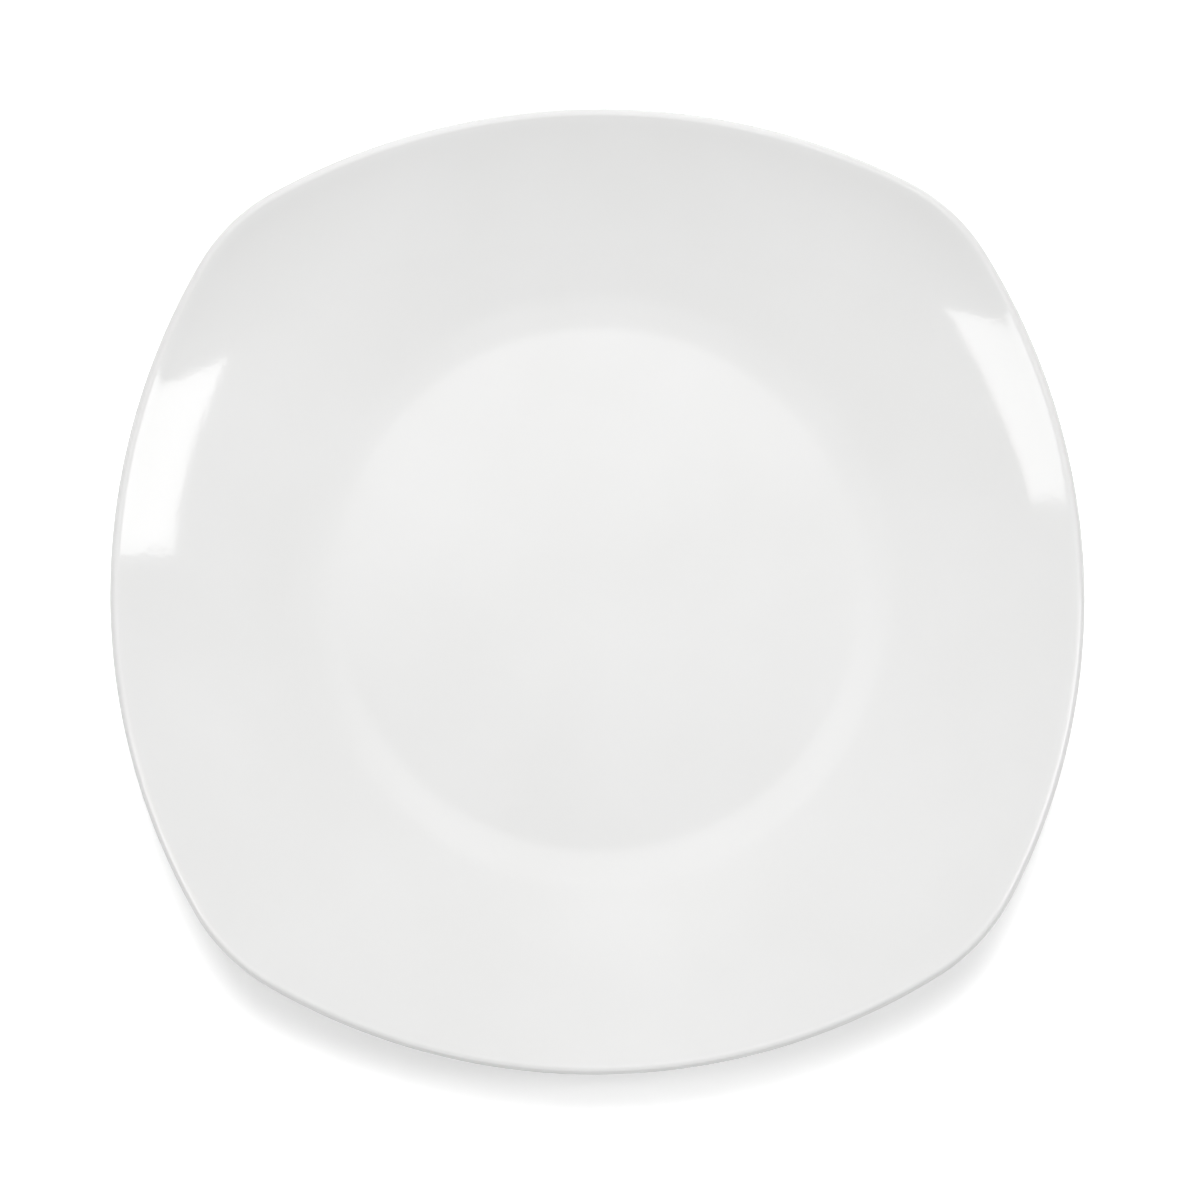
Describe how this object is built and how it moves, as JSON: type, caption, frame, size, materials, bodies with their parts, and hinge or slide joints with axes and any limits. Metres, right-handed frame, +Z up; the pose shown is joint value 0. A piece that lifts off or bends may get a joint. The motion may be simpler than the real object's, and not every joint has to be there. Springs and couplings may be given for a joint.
{
  "type": "square dinner plate",
  "caption": "Dinner plate in white glazed porcelain: a rounded square with bulging sides, raised corners, a shallow round well and a foot ring.",
  "frame": {"origin": "centre of the foot ring's standing face, on the surface that the plate stands on", "axes": "+Z up out of the well; X and Y cross the middles of the sides, with -Y towards the picture's lower edge"},
  "size_m": [0.27, 0.27, 0.0304],
  "materials": {
    "biscuit": "matte fired white clay, bare where the plate stands",
    "glaze": "glossy clear glaze over white clay"
  },
  "bodies": {
    "root": {"porcelain_body": "biscuit", "glaze_coat": "glaze", "base_glaze": "glaze"}
  },
  "joints": []
}
